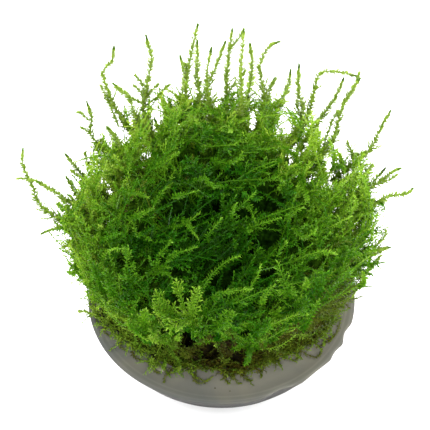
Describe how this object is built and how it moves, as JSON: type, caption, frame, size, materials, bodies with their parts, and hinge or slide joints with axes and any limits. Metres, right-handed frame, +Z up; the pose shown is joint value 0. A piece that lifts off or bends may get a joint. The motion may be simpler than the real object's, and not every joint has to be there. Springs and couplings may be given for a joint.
{
  "type": "moss clump",
  "caption": "Dome of leafy creeping moss with long free shoots, growing on a disc of cloudy nutrient gel.",
  "frame": {"origin": "middle of the gel disc's flat underside, which rests on the surface", "axes": "+Z up, -Y towards the side that the picture shows, +X to the picture's right"},
  "size_m": [0.0853, 0.0708, 0.0617],
  "materials": {
    "gel": "wet, cloudy grey nutrient gel, partly see-through",
    "moss": "matted leafy moss, deep green with yellow-green tips and olive-brown old growth at its foot",
    "shoot": "fresh yellow-green leafy shoots"
  },
  "bodies": {
    "root": {"gel_disc": "gel", "moss_cushion": "moss", "shoot_left_1": "shoot", "shoot_left_2": "shoot", "shoot_left_3": "shoot", "shoot_left_4": "shoot", "shoot_left_5": "shoot", "shoot_left_6": "shoot", "shoot_left_7": "shoot", "shoot_top_1": "shoot", "shoot_top_2": "shoot", "shoot_top_3": "shoot", "shoot_top_4": "shoot", "shoot_top_5": "shoot", "shoot_top_6": "shoot", "shoot_top_7": "shoot", "shoot_top_8": "shoot", "shoot_top_9": "shoot", "shoot_top_10": "shoot", "shoot_top_11": "shoot", "shoot_top_12": "shoot", "shoot_right_1": "shoot", "shoot_right_2": "shoot", "shoot_right_3": "shoot", "shoot_right_4": "shoot", "shoot_right_5": "shoot", "shoot_right_6": "shoot", "shoot_right_7": "shoot", "shoot_right_8": "shoot", "shoot_right_9": "shoot", "shoot_back_1": "shoot", "shoot_back_2": "shoot", "shoot_back_3": "shoot", "shoot_back_4": "shoot", "shoot_back_5": "shoot", "shoot_back_6": "shoot", "shoot_back_7": "shoot", "shoot_back_8": "shoot"}
  },
  "joints": []
}
